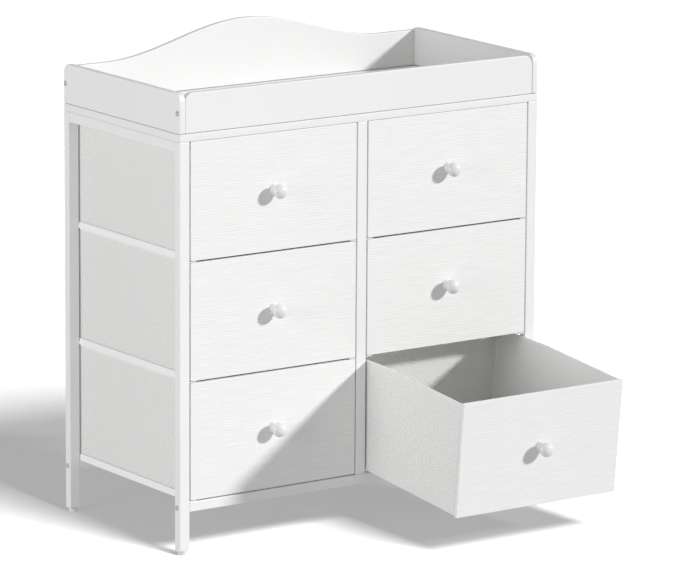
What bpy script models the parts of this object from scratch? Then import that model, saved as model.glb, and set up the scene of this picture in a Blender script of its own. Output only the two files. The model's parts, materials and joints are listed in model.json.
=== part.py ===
"""Changing table: a tray on a six-drawer cabinet with a steel frame.

Units are metres, +Z is up and the front faces -Y. The lower right drawer is
stored pulled out and tipped forward; the other five are closed. The origin is
on the floor, half-way between the open drawer's knob and the cabinet's back.
"""
import math

import bmesh
import bpy
from mathutils import Matrix, Vector

# ---- driving dimensions -------------------------------------------------------
WIDTH = 0.850
DEPTH = 0.418
GAP = 0.0003                     # clearance between pieces that touch

FOOT_HEIGHT = 0.0083
FOOT_RADIUS = 0.0085
FOOT_PLUG_RADIUS = 0.0070        # the plug that fills the leg's lower end
FOOT_PLUG_TOP = 0.0200

TUBE_WIDTH = 0.0227              # leg and upright, seen from the front
TUBE_DEPTH = 0.0180              # leg and upright, front to back
TUBE_WALL = 0.0015
TUBE_EDGE = 0.0014               # rounding of a tube's outer edges
RAIL_HEIGHT = 0.0195
RAIL_BOTTOM = 0.0849
SIDE_RAIL_HEIGHT = 0.0205

PANEL_BOTTOM = 0.8125
PANEL_THICKNESS = 0.0150
PANEL_EDGE = 0.0012
FLOOR_RISE = 0.0006              # the tray's floor above the strip under its boards
FLOOR_MARGIN = 0.0144            # from the panel's edge to the foot of that step
FLOOR_SLOPE = 0.0010             # width of the step

TRAY_BOARD = 0.0130              # thickness of the tray's four boards
TRAY_HEIGHT = 0.0790
TRAY_FRONT_SETBACK = 0.0010
TRAY_BACK_SETBACK = 0.0005
TRAY_EDGE = 0.0022
SIDE_CORNER_RADIUS = 0.0170
FRONT_CORNER_RADIUS = 0.0190
BACK_END_DROP = 0.0050           # the back board's ends lie below the sides' tops
BACK_HUMP_HEIGHT = 0.0615
BACK_HUMP_HALF_WIDTH = 0.335
BACK_HUMP_POINTS = 44

ROW_NAMES = ("bottom", "middle", "top")
COLUMN_NAMES = ("left", "right")
ROW_PITCH = 0.2360
FIRST_ROW_Z = 0.1073             # lower edge of the bottom row's fronts
FRONT_WIDTH = 0.3860
FRONT_HEIGHT = 0.2325
FRONT_THICKNESS = 0.0060
FRONT_EDGE = 0.0010

BOX_WIDTH = 0.3840
BOX_REAR_Y = 0.4145              # from the cabinet's front plane, when closed
BOX_LIFT = 0.0024                # the box's floor above the front's lower edge
BOX_TOP = 0.2328                 # the box's rim above the front's lower edge
TIPPED_BOX_TOP = 0.2305          # the same on the drawer that tips
BOX_WALL = 0.0030
RIM_TAPER_START = 0.2500         # behind this the tipping drawer's rim slopes down
RIM_TAPER_DROP = 0.0095
BASE_BOARD_THICKNESS = 0.0030
BASE_BOARD_PLAY = 0.0012

RUNNER_THICKNESS = 0.0015
RUNNER_WIDTH = 0.0150
RUNNER_RISE = 0.0112             # upright flange above the row's base line
RUNNER_DROP = 0.0025             # lower face under the row's base line
RUNNER_FRONT = 0.0010
LOW_RUNNER_FRONT = 0.0600        # the tipping drawer's runners start further back, clear of it

KNOB_HEIGHT = 0.1200             # above the front's lower edge
KNOB_BASE_RADIUS = 0.0122
KNOB_NECK_RADIUS = 0.0096
KNOB_HEAD_RADIUS = 0.0150
KNOB_HEAD_AT = 0.0205            # centre of the rounded head from the front board
KNOB_HEAD_DEPTH = 0.0120         # half of the head's thickness
KNOB_SEGMENTS = 24

BOLT_HEAD_RADIUS = 0.0050
BOLT_HEAD_HEIGHT = 0.0018
BOLT_SHANK_RADIUS = 0.0030
BOLT_HOLE_RADIUS = 0.0034
BOLT_INTO_END = 0.0240           # how far a bolt reaches into the second piece
BOLT_SEGMENTS = 16
TRAY_BOLT_Z = 0.8680

OPEN_ROW = "bottom"
OPEN_COLUMN = "right"
OPEN_TRAVEL = 0.3030             # how far the open drawer's lower edge has moved
OPEN_DROP = 0.0290               # how far that edge has sunk
OPEN_TILT = math.radians(5.5)

# ---- derived places -----------------------------------------------------------
PANEL_TOP = PANEL_BOTTOM + PANEL_THICKNESS
TRAY_BOTTOM = PANEL_TOP + GAP
TRAY_TOP = TRAY_BOTTOM + TRAY_HEIGHT
RAIL_TOP = RAIL_BOTTOM + RAIL_HEIGHT
RAIL_BOLT_Z = RAIL_BOTTOM + RAIL_HEIGHT / 2
FRAME_TOP = PANEL_BOTTOM - GAP
REAR_TUBE_Y = DEPTH - TUBE_DEPTH
COLUMN_CLEAR = (WIDTH - 3 * TUBE_WIDTH) / 2
COLUMN_CENTRE = (COLUMN_CLEAR + TUBE_WIDTH) / 2

KNOB_TIP = (KNOB_HEAD_AT * math.cos(OPEN_TILT)
            + math.hypot(KNOB_HEAD_DEPTH * math.cos(OPEN_TILT),
                         KNOB_HEAD_RADIUS * math.sin(OPEN_TILT)))
KNOB_REACH = OPEN_TRAVEL + KNOB_HEIGHT * math.sin(OPEN_TILT) + KNOB_TIP
FRONT_Y = (KNOB_REACH - DEPTH) / 2          # the cabinet's front plane

STEEL = ((0.86, 0.86, 0.85), 0.42, 0.0)
BOARD = ((0.90, 0.90, 0.89), 0.38, 0.0)
GRAIN = ((0.88, 0.88, 0.87), 0.50, 0.0)
FABRIC = ((0.72, 0.72, 0.71), 0.90, 0.0)
HARDBOARD = ((0.66, 0.65, 0.62), 0.80, 0.0)
KNOB_PAINT = ((0.90, 0.90, 0.90), 0.25, 0.0)
FOOT_PLASTIC = ((0.80, 0.80, 0.80), 0.55, 0.0)
BOLT_STEEL = ((0.70, 0.70, 0.70), 0.35, 0.6)


# ---- building blocks ----------------------------------------------------------
def clear_scene():
    """Remove every object of the open file."""
    for item in list(bpy.data.objects):
        bpy.data.objects.remove(item, do_unlink=True)


def finish_material(name, finish):
    """A Principled material named after its piece."""
    colour, roughness, metallic = finish
    material = bpy.data.materials.new(name)
    material.use_nodes = True
    shader = material.node_tree.nodes["Principled BSDF"]
    shader.inputs["Base Color"].default_value = (*colour, 1.0)
    shader.inputs["Roughness"].default_value = roughness
    shader.inputs["Metallic"].default_value = metallic
    return material


def add_piece(name, mesh_builder, location, finish, parent=None):
    """Link one named object whose mesh is mesh_builder's bmesh."""
    mesh = bpy.data.meshes.new(name)
    bmesh.ops.recalc_face_normals(mesh_builder, faces=mesh_builder.faces[:])
    mesh_builder.to_mesh(mesh)
    mesh_builder.free()
    piece = bpy.data.objects.new(name, mesh)
    bpy.context.scene.collection.objects.link(piece)
    piece.location = location
    piece.parent = parent
    mesh.materials.append(finish_material(name, finish))
    return piece


def soften(piece, width, segments=2):
    """Round a piece's sharp edges with a Bevel modifier."""
    bevel = piece.modifiers.new("edge", "BEVEL")
    bevel.width = width
    bevel.segments = segments
    bevel.limit_method = "ANGLE"
    bevel.angle_limit = math.radians(40)
    return piece


def smooth(piece, degrees=40):
    """Shade a turned piece smooth, keeping its sharp edges."""
    piece.data.shade_smooth()
    piece.data.set_sharp_from_angle(angle=math.radians(degrees))
    return piece


def block(size):
    """A box of the given size, its lowest corner at the mesh's origin."""
    build = bmesh.new()
    bmesh.ops.create_cube(build, size=1.0)
    bmesh.ops.translate(build, verts=build.verts, vec=(0.5, 0.5, 0.5))
    bmesh.ops.scale(build, verts=build.verts, vec=size)
    return build


def prism(outline, sweep):
    """A flat outline of points swept along a vector into a closed solid."""
    build = bmesh.new()
    face = build.faces.new([build.verts.new(point) for point in outline])
    swept = bmesh.ops.extrude_face_region(build, geom=[face])
    moved = [item for item in swept["geom"] if isinstance(item, bmesh.types.BMVert)]
    bmesh.ops.translate(build, verts=moved, vec=sweep)
    return build


def turned(profile, segments):
    """A solid turned about +Y from (radius, distance) pairs, with flat ends."""
    build = bmesh.new()
    rings = []
    for radius, distance in profile:
        ring = []
        for step in range(segments):
            angle = 2 * math.pi * step / segments
            ring.append(build.verts.new((radius * math.cos(angle), distance,
                                         radius * math.sin(angle))))
        rings.append(ring)
    for lower, upper in zip(rings, rings[1:]):
        for step in range(segments):
            after = (step + 1) % segments
            build.faces.new((lower[step], lower[after], upper[after], upper[step]))
    build.faces.new(rings[0])
    build.faces.new(rings[-1])
    return build


def turn_mesh(build, axis, degrees):
    """Turn a bmesh about a world axis through its own origin."""
    bmesh.ops.rotate(build, verts=build.verts, cent=(0, 0, 0),
                     matrix=Matrix.Rotation(math.radians(degrees), 3, axis))
    return build


def corner_arc(centre, radius, start_degrees, end_degrees, steps=6):
    """Points of one rounded corner, as (across, up) pairs."""
    points = []
    for step in range(steps + 1):
        angle = math.radians(start_degrees + (end_degrees - start_degrees) * step / steps)
        points.append((centre[0] + radius * math.cos(angle),
                       centre[1] + radius * math.sin(angle)))
    return points


def rounded_board(length, height, radius):
    """An outline of a board with its two upper corners rounded."""
    outline = [(0.0, 0.0), (length, 0.0)]
    outline += corner_arc((length - radius, height - radius), radius, 0, 90)
    outline += corner_arc((radius, height - radius), radius, 90, 180)
    return outline


def cut(piece, name, cutter_mesh, location):
    """Take a hidden cutter's shape out of a piece."""
    cutter = add_piece(name, cutter_mesh, location, BOLT_STEEL)
    cutter.hide_render = True
    cutter.display_type = "WIRE"
    modifier = piece.modifiers.new(name, "BOOLEAN")
    modifier.operation = "DIFFERENCE"
    modifier.solver = "EXACT"
    modifier.object = cutter


def bore(piece, name, start, length):
    """Cut a round hole along +X from its starting point."""
    outline = [(BOLT_HOLE_RADIUS, 0.0), (BOLT_HOLE_RADIUS, length)]
    cut(piece, name, turn_mesh(turned(outline, BOLT_SEGMENTS), "Z", -90), start)


def tube(name, size, location, along):
    """A rectangular steel tube, open at both ends of the axis numbered along."""
    piece = soften(add_piece(name, block(size), location, STEEL), TUBE_EDGE)
    inside = [length - 2 * TUBE_WALL for length in size]
    corner = [place + TUBE_WALL for place in location]
    inside[along] = size[along] + 4 * TUBE_WALL
    corner[along] = location[along] - 2 * TUBE_WALL
    cut(piece, f"cut_inside_{name}", block(inside), corner)
    return piece


def side_sign(index):
    """-1 for the left side and +1 for the right."""
    return -1 if index == 0 else 1


# ---- steel frame --------------------------------------------------------------
def leg_x(side):
    """A leg's lowest x on one side."""
    return -WIDTH / 2 if side == "left" else WIDTH / 2 - TUBE_WIDTH


def frame_ends():
    """The two ends of the frame, and their distance behind the front plane."""
    return ("front", 0.0), ("rear", REAR_TUBE_Y)


def build_legs():
    """Four corner legs, each with a bolt hole at the bottom rail's height."""
    size = (TUBE_WIDTH, TUBE_DEPTH, FRAME_TOP - FOOT_HEIGHT)
    for side in COLUMN_NAMES:
        for end, offset in frame_ends():
            leg = tube(f"leg_{end}_{side}", size, (leg_x(side), FRONT_Y + offset, FOOT_HEIGHT), 2)
            start = (leg_x(side) - GAP, FRONT_Y + offset + TUBE_DEPTH / 2, RAIL_BOLT_Z)
            bore(leg, f"cut_leg_{end}_{side}", start, TUBE_WIDTH + 2 * GAP)


def build_uprights():
    """The middle uprights, standing on the bottom rails."""
    size = (TUBE_WIDTH, TUBE_DEPTH, FRAME_TOP - RAIL_TOP - GAP)
    for end, offset in frame_ends():
        tube(f"upright_{end}", size, (-TUBE_WIDTH / 2, FRONT_Y + offset, RAIL_TOP + GAP), 2)


def build_bottom_rails():
    """The front and rear rails between the legs; the leg bolts end inside them."""
    length = WIDTH - 2 * TUBE_WIDTH - 2 * GAP
    size = (length, TUBE_DEPTH, RAIL_HEIGHT)
    for end, offset in frame_ends():
        tube(f"bottom_rail_{end}", size, (-length / 2, FRONT_Y + offset, RAIL_BOTTOM), 0)


def build_side_rails():
    """The upper rails that carry the panel between each pair of legs."""
    length = DEPTH - 2 * TUBE_DEPTH - 2 * GAP
    size = (TUBE_WIDTH, length, SIDE_RAIL_HEIGHT)
    for side in COLUMN_NAMES:
        corner = (leg_x(side), FRONT_Y + TUBE_DEPTH + GAP, FRAME_TOP - SIDE_RAIL_HEIGHT)
        tube(f"upper_rail_{side}", size, corner, 1)


def build_feet():
    """A plastic glide under each leg, with a plug inside the tube."""
    shoulder = FOOT_HEIGHT - GAP
    profile = [(FOOT_RADIUS - 0.0010, 0.0), (FOOT_RADIUS, 0.0010), (FOOT_RADIUS, shoulder),
               (FOOT_PLUG_RADIUS, shoulder), (FOOT_PLUG_RADIUS, FOOT_PLUG_TOP)]
    for side in COLUMN_NAMES:
        for end, offset in frame_ends():
            centre = (leg_x(side) + TUBE_WIDTH / 2, FRONT_Y + offset + TUBE_DEPTH / 2, 0.0)
            foot = add_piece(f"foot_{end}_{side}", turn_mesh(turned(profile, 24), "X", 90),
                             centre, FOOT_PLASTIC)
            smooth(foot)


def row_z(row):
    """Height of the lower edge of one row's fronts."""
    return FIRST_ROW_Z + ROW_PITCH * ROW_NAMES.index(row)


def angle_outline(wall_x, inward):
    """Cross-section of an L runner that stands against a wall, as (x, z) pairs."""
    near = wall_x + inward * GAP
    rise = near + inward * RUNNER_THICKNESS
    far = near + inward * RUNNER_WIDTH
    shelf = -RUNNER_DROP + RUNNER_THICKNESS
    return [(near, -RUNNER_DROP), (far, -RUNNER_DROP), (far, shelf),
            (rise, shelf), (rise, RUNNER_RISE), (near, RUNNER_RISE)]


def runner_front(row, place):
    """Where a runner starts, behind the cabinet's front plane."""
    if row == OPEN_ROW and place in (OPEN_COLUMN, "centre"):
        return LOW_RUNNER_FRONT
    return RUNNER_FRONT


def cut_flange(runner, row, low_x, high_x):
    """Take away a runner's upright flange beside a front leg or upright."""
    size = (high_x - low_x, TUBE_DEPTH + 2 * GAP, 2 * RUNNER_RISE)
    shelf = row_z(row) - RUNNER_DROP + RUNNER_THICKNESS
    cut(runner, f"cut_flange_{runner.name}", block(size), (low_x, FRONT_Y - GAP, shelf))


def build_side_runners(row):
    """The L-shaped runners; their flanges start behind the front legs."""
    for index, side in enumerate(COLUMN_NAMES):
        start = runner_front(row, side)
        wall = side_sign(index) * (WIDTH / 2 - TUBE_WIDTH)
        outline = [(x, 0.0, z) for x, z in angle_outline(wall, -side_sign(index))]
        runner = add_piece(f"runner_{row}_{side}",
                           prism(outline, (0.0, REAR_TUBE_Y - GAP - start, 0.0)),
                           (0.0, FRONT_Y + start, row_z(row)), STEEL)
        if start == RUNNER_FRONT:
            cut_flange(runner, row, wall - 2 * RUNNER_THICKNESS, wall + 2 * RUNNER_THICKNESS)


def centre_runner_outline():
    """Section of the centre runner: two lips, two flanges and the web between."""
    near = TUBE_WIDTH / 2 + GAP
    rise = near + RUNNER_THICKNESS
    far = near + RUNNER_WIDTH
    shelf = -RUNNER_DROP + RUNNER_THICKNESS
    right = [(far, -RUNNER_DROP), (far, shelf), (rise, shelf), (rise, RUNNER_RISE),
             (near, RUNNER_RISE), (near, shelf)]
    left = [(-x, z) for x, z in reversed(right)]
    return [(x, 0.0, z) for x, z in right + left]


def build_centre_runner(row):
    """One runner for both columns, its front forked around the upright."""
    start = runner_front(row, "centre")
    runner = add_piece(f"runner_{row}_centre",
                       prism(centre_runner_outline(), (0.0, REAR_TUBE_Y - GAP - start, 0.0)),
                       (0.0, FRONT_Y + start, row_z(row)), STEEL)
    if start != RUNNER_FRONT:
        return
    half = TUBE_WIDTH / 2 + GAP
    fork = block((2 * half, TUBE_DEPTH + 2 * GAP, 4 * RUNNER_THICKNESS))
    cut(runner, f"cut_fork_{row}", fork,
        (-half, FRONT_Y - GAP, row_z(row) - RUNNER_DROP - RUNNER_THICKNESS))
    half += 2 * RUNNER_THICKNESS
    cut_flange(runner, row, -half, half)


# ---- panel and tray -----------------------------------------------------------
def build_panel():
    """The board that covers the cabinet; the tray's floor on it is slightly raised.

    The step runs just inside the tray's four boards and places them.
    """
    build = block((WIDTH, DEPTH, PANEL_THICKNESS))
    top = max(build.faces, key=lambda face: face.calc_center_median().z)
    bmesh.ops.inset_region(build, faces=[top], thickness=FLOOR_MARGIN, use_even_offset=True)
    bmesh.ops.inset_region(build, faces=[top], thickness=FLOOR_SLOPE, depth=FLOOR_RISE,
                           use_even_offset=True)
    panel = add_piece("top_panel", build, (-WIDTH / 2, FRONT_Y, PANEL_BOTTOM), BOARD)
    soften(panel, PANEL_EDGE)


def front_board_y():
    """Centre line of the tray's front board."""
    return FRONT_Y + TRAY_FRONT_SETBACK + TRAY_BOARD / 2


def back_board_y():
    """Centre line of the tray's back board."""
    return FRONT_Y + DEPTH - TRAY_BACK_SETBACK - TRAY_BOARD / 2


def build_tray_sides():
    """The two side boards, each with a bolt hole near either end."""
    outline = [(0.0, y, z) for y, z in rounded_board(DEPTH, TRAY_HEIGHT, SIDE_CORNER_RADIUS)]
    for index, side in enumerate(COLUMN_NAMES):
        left = -WIDTH / 2 if index == 0 else WIDTH / 2 - TRAY_BOARD
        board = add_piece(f"tray_side_{side}", prism(outline, (TRAY_BOARD, 0.0, 0.0)),
                          (left, FRONT_Y, TRAY_BOTTOM), BOARD)
        soften(board, TRAY_EDGE)
        for end, centre_y in (("front", front_board_y()), ("rear", back_board_y())):
            bore(board, f"cut_tray_{side}_{end}", (left - GAP, centre_y, TRAY_BOLT_Z),
                 TRAY_BOARD + 2 * GAP)


def end_bores(board, name, length, centre_y):
    """Blind holes in both ends of a board that lies between the sides."""
    depth = BOLT_INTO_END + GAP
    bore(board, f"cut_{name}_left", (-length / 2 - GAP, centre_y, TRAY_BOLT_Z), depth)
    bore(board, f"cut_{name}_right", (length / 2 + GAP - depth, centre_y, TRAY_BOLT_Z), depth)


def build_tray_front():
    """The low front board, its top corners rounded."""
    length = WIDTH - 2 * TRAY_BOARD - 2 * GAP
    outline = [(x, 0.0, z) for x, z in
               rounded_board(length, TRAY_HEIGHT - GAP, FRONT_CORNER_RADIUS)]
    board = add_piece("tray_front", prism(outline, (0.0, TRAY_BOARD, 0.0)),
                      (-length / 2, front_board_y() - TRAY_BOARD / 2, TRAY_BOTTOM), BOARD)
    soften(board, TRAY_EDGE)
    end_bores(board, "tray_front", length, front_board_y())


def hump(across):
    """Height of the back board's wave above its ends: one raised cosine."""
    if abs(across) >= BACK_HUMP_HALF_WIDTH:
        return 0.0
    return BACK_HUMP_HEIGHT * 0.5 * (1 + math.cos(math.pi * across / BACK_HUMP_HALF_WIDTH))


def build_tray_back():
    """The tall back board with a wave along its top."""
    length = WIDTH - 2 * TRAY_BOARD - 2 * GAP
    end_height = TRAY_HEIGHT - BACK_END_DROP
    outline = [(-length / 2, 0.0, 0.0), (length / 2, 0.0, 0.0), (length / 2, 0.0, end_height)]
    for step in range(BACK_HUMP_POINTS + 1):
        across = BACK_HUMP_HALF_WIDTH * (1 - 2 * step / BACK_HUMP_POINTS)
        outline.append((across, 0.0, end_height + hump(across)))
    outline.append((-length / 2, 0.0, end_height))
    board = add_piece("tray_back", prism(outline, (0.0, TRAY_BOARD, 0.0)),
                      (0.0, back_board_y() - TRAY_BOARD / 2, TRAY_BOTTOM), BOARD)
    soften(board, TRAY_EDGE, segments=1)
    end_bores(board, "tray_back", length, back_board_y())


# ---- fasteners ----------------------------------------------------------------
def bolt_mesh(grip):
    """A low domed head at distance 0 and below, with a shank along +Y."""
    head = BOLT_HEAD_HEIGHT
    profile = [(0.0022, -head), (BOLT_HEAD_RADIUS * 0.75, -head * 0.92),
               (BOLT_HEAD_RADIUS, -head * 0.35), (BOLT_HEAD_RADIUS, -GAP),
               (BOLT_SHANK_RADIUS, -GAP), (BOLT_SHANK_RADIUS, grip + BOLT_INTO_END - GAP)]
    return turned(profile, BOLT_SEGMENTS)


def build_bolts():
    """Bolts through the tray's sides and through the legs into the rails."""
    places = []
    for end, centre_y in (("front", front_board_y()), ("rear", back_board_y())):
        places.append((f"tray_bolt_{end}", centre_y, TRAY_BOLT_Z, TRAY_BOARD))
    for end, offset in frame_ends():
        places.append((f"leg_bolt_{end}", FRONT_Y + offset + TUBE_DEPTH / 2, RAIL_BOLT_Z,
                       TUBE_WIDTH))
    for name, centre_y, centre_z, grip in places:
        for index, side in enumerate(COLUMN_NAMES):
            turn = -90 if index == 0 else 90
            bolt = add_piece(f"{name}_{side}", turn_mesh(bolt_mesh(grip), "Z", turn),
                             (side_sign(index) * WIDTH / 2, centre_y, centre_z), BOLT_STEEL)
            smooth(bolt)


# ---- drawers ------------------------------------------------------------------
def arc_centre():
    """Centre of the arc that carries the tipping drawer, from its closed place.

    Returned as (y, z) from the closed front's lower edge. The arc's chord runs
    from there to the open place, and its angle is the tilt.
    """
    chord = Vector((-OPEN_TRAVEL, -OPEN_DROP))
    reach = chord.length / (2 * math.tan(OPEN_TILT / 2))
    normal = Vector((-chord.y, chord.x)).normalized()
    return chord / 2 + normal * reach


def drawer_anchor(row, column, centre_x):
    """The empty that a drawer's pieces hang on, and their offset from it."""
    closed = Vector((centre_x, FRONT_Y, row_z(row)))
    anchor = bpy.data.objects.new(f"anchor_{row}_{column}", None)
    bpy.context.scene.collection.objects.link(anchor)
    if row != OPEN_ROW or column != OPEN_COLUMN:
        anchor.location = closed
        return anchor, Vector((0, 0, 0))
    centre = arc_centre()
    offset = Vector((0.0, centre.x, centre.y))
    anchor.location = closed + offset
    anchor.rotation_euler.x = OPEN_TILT
    return anchor, -offset


def rim_height(y, tips):
    """Height of a box's rim above the front's lower edge at one depth."""
    if not tips:
        return BOX_TOP
    share = max(0.0, (y - RIM_TAPER_START) / (BOX_REAR_Y - RIM_TAPER_START))
    return TIPPED_BOX_TOP - RIM_TAPER_DROP * share


def box_ring(build, inset, tips, height=None):
    """Six corners around the box at one inset: flat, or along the rim."""
    half = BOX_WIDTH / 2 - inset
    front = FRONT_THICKNESS + GAP + inset
    rear = BOX_REAR_Y - inset
    plan = [(-half, front), (half, front), (half, RIM_TAPER_START),
            (half, rear), (-half, rear), (-half, RIM_TAPER_START)]
    return [build.verts.new((x, y, rim_height(y, tips) if height is None else height))
            for x, y in plan]


def fabric_box(tips):
    """An open-topped box: outer floor, outer wall, rim, inner wall, inner floor."""
    build = bmesh.new()
    rings = [box_ring(build, 0.0, tips, BOX_LIFT), box_ring(build, 0.0, tips),
             box_ring(build, BOX_WALL, tips), box_ring(build, BOX_WALL, tips, BOX_LIFT + BOX_WALL)]
    for lower, upper in zip(rings, rings[1:]):
        for step in range(6):
            after = (step + 1) % 6
            build.faces.new((lower[step], lower[after], upper[after], upper[step]))
    build.faces.new(rings[0])
    build.faces.new(rings[-1])
    return build


def knob_profile():
    """Radius along the knob: a flared foot, a neck and a flattened ball."""
    profile = [(KNOB_BASE_RADIUS, GAP), (KNOB_BASE_RADIUS, 0.0014)]
    for step in range(1, 5):
        turn = math.pi / 2 * step / 4
        radius = KNOB_BASE_RADIUS - (KNOB_BASE_RADIUS - KNOB_NECK_RADIUS) * math.sin(turn)
        profile.append((radius, 0.0014 + 0.0060 * (1 - math.cos(turn))))
    for degrees in (-49, -34, -18, 0, 18, 34, 48, 61, 73, 84):
        angle = math.radians(degrees)
        profile.append((KNOB_HEAD_RADIUS * math.cos(angle),
                        KNOB_HEAD_AT + KNOB_HEAD_DEPTH * math.sin(angle)))
    return [(radius, -distance) for radius, distance in profile]


def build_drawer(row, column, centre_x):
    """One drawer: wooden front, fabric box, base board and knob."""
    anchor, offset = drawer_anchor(row, column, centre_x)
    name = f"drawer_{row}_{column}"
    front = add_piece(f"{name}_front", block((FRONT_WIDTH, FRONT_THICKNESS, FRONT_HEIGHT)),
                      offset + Vector((-FRONT_WIDTH / 2, 0, 0)), GRAIN, anchor)
    soften(front, FRONT_EDGE, segments=1)
    tips = row == OPEN_ROW and column == OPEN_COLUMN
    add_piece(f"{name}_box", fabric_box(tips), offset, FABRIC, anchor)
    inset = BOX_WALL + BASE_BOARD_PLAY
    size = (BOX_WIDTH - 2 * inset, BOX_REAR_Y - FRONT_THICKNESS - GAP - 2 * inset,
            BASE_BOARD_THICKNESS)
    corner = Vector((-size[0] / 2, FRONT_THICKNESS + GAP + inset, BOX_LIFT + BOX_WALL + GAP))
    add_piece(f"{name}_base", block(size), offset + corner, HARDBOARD, anchor)
    knob = add_piece(f"{name}_knob", turned(knob_profile(), KNOB_SEGMENTS),
                     offset + Vector((0, 0, KNOB_HEIGHT)), KNOB_PAINT, anchor)
    smooth(knob)


def build_table():
    """Build every piece of the changing table."""
    clear_scene()
    build_legs()
    build_uprights()
    build_bottom_rails()
    build_side_rails()
    build_feet()
    for row in ROW_NAMES:
        build_side_runners(row)
        build_centre_runner(row)
    build_panel()
    build_tray_sides()
    build_tray_front()
    build_tray_back()
    build_bolts()
    for row in ROW_NAMES:
        for index, column in enumerate(COLUMN_NAMES):
            build_drawer(row, column, side_sign(index) * COLUMN_CENTRE)


build_table()
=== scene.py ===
"""Looks of a baby changing table: a tray on a steel frame with six fabric drawers."""
from __future__ import annotations

import json
import logging
import math
from dataclasses import dataclass
from enum import Enum
from typing import Union

import bpy
import numpy as np
from mathutils import Matrix, Vector


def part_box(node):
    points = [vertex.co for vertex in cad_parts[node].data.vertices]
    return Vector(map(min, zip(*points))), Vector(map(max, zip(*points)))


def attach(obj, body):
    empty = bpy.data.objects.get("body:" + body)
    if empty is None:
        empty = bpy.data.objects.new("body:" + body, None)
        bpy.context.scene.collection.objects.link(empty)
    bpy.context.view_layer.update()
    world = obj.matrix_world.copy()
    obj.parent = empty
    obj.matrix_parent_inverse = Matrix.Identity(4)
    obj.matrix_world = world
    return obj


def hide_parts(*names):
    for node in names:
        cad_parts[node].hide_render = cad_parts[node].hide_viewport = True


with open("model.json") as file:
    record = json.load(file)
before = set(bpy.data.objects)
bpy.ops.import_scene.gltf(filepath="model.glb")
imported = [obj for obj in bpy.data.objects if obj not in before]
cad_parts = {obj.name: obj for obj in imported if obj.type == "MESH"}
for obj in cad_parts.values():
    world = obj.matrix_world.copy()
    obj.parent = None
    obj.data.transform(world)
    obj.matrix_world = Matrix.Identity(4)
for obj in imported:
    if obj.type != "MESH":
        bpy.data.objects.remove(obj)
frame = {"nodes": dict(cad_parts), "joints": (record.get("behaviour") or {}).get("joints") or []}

log = logging.getLogger("changing_table")

Colour = tuple[float, float, float]
Triple = tuple[float, float, float]
Socket = bpy.types.NodeSocket
Value = Union[Socket, float, tuple]


# ---- shader building
class NodeKit:
    """Adds nodes to one tree and links them by name."""

    def __init__(self, tree: bpy.types.NodeTree) -> None:
        """Keep the tree to build in, a material's or a shader group's."""
        self.tree = tree

    def add(self, kind: str, inputs: dict | None = None, **settings: object) -> bpy.types.Node:
        """Add a node.

        Args:
            kind: the node's type name without its ShaderNode prefix.
            inputs: values or output sockets by input name or index.
            settings: properties of the node itself.

        Returns:
            The new node.
        """
        node = self.tree.nodes.new("ShaderNode" + kind)
        for name, value in settings.items():
            setattr(node, name, value)
        for key, value in (inputs or {}).items():
            self.feed(node.inputs[key], value)
        return node

    def feed(self, socket: Socket, value: Value) -> None:
        """Link an output socket into an input, or set the input's own value.

        Args:
            socket: the input.
            value: an output socket, a number, or a tuple.
        """
        if isinstance(value, Socket):
            self.tree.links.new(value, socket)
        else:
            socket.default_value = value

    def math(self, operation: str, first: Value, second: Value = 0.0) -> Socket:
        """The result of one operation, such as MULTIPLY, on two numbers or sockets."""
        node = self.add("Math", {0: first, 1: second}, operation=operation)
        return node.outputs[0]

    def noise(self, vector: Socket, scale: Value, detail: float) -> Socket:
        """A Noise texture's value at a vector, where detail is its number of finer layers."""
        inputs = {"Vector": vector, "Scale": scale, "Detail": detail}
        return self.add("TexNoise", inputs).outputs["Fac"]

    def blend(self, mask: Socket, low: Colour | Socket, high: Colour) -> Socket:
        """A colour between two others.

        Args:
            mask: socket from 0 to 1.
            low: colour or colour socket where the mask is 0.
            high: colour where the mask is 1.

        Returns:
            The colour output.
        """
        start = low if isinstance(low, Socket) else (*low, 1.0)
        inputs = {"Factor": mask, 6: start, 7: (*high, 1.0)}
        return self.add("Mix", inputs, data_type="RGBA").outputs[2]

    def span(self, value: Socket, low: float, high: float) -> Socket:
        """Stretch a value from 0 to 1 so that it runs from low to high."""
        inputs = {"Value": value, "To Min": low, "To Max": high}
        return self.add("MapRange", inputs).outputs["Result"]


def shader_group(name: str, inputs: dict[str, float]
                 ) -> tuple[bpy.types.NodeTree, NodeKit, bpy.types.Node]:
    """Make an empty shader group with number inputs, which puts out Height and Mask.

    Args:
        name: the group's name.
        inputs: default value by input name.

    Returns:
        The group, its NodeKit and its input node.
    """
    group = bpy.data.node_groups.new(name, "ShaderNodeTree")
    for label, value in inputs.items():
        socket = group.interface.new_socket(label, in_out="INPUT", socket_type="NodeSocketFloat")
        socket.default_value = value
    for label in ("Height", "Mask"):
        group.interface.new_socket(label, in_out="OUTPUT", socket_type="NodeSocketFloat")
    return group, NodeKit(group), group.nodes.new("NodeGroupInput")


def put_out(kit: NodeKit, height: Socket, mask: Socket) -> None:
    """Link a group's two results to its output node.

    Args:
        kit: builder of the group's tree.
        height: the Height output's value.
        mask: the Mask output's value.
    """
    leave = kit.tree.nodes.new("NodeGroupOutput")
    kit.feed(leave.inputs["Height"], height)
    kit.feed(leave.inputs["Mask"], mask)


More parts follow.
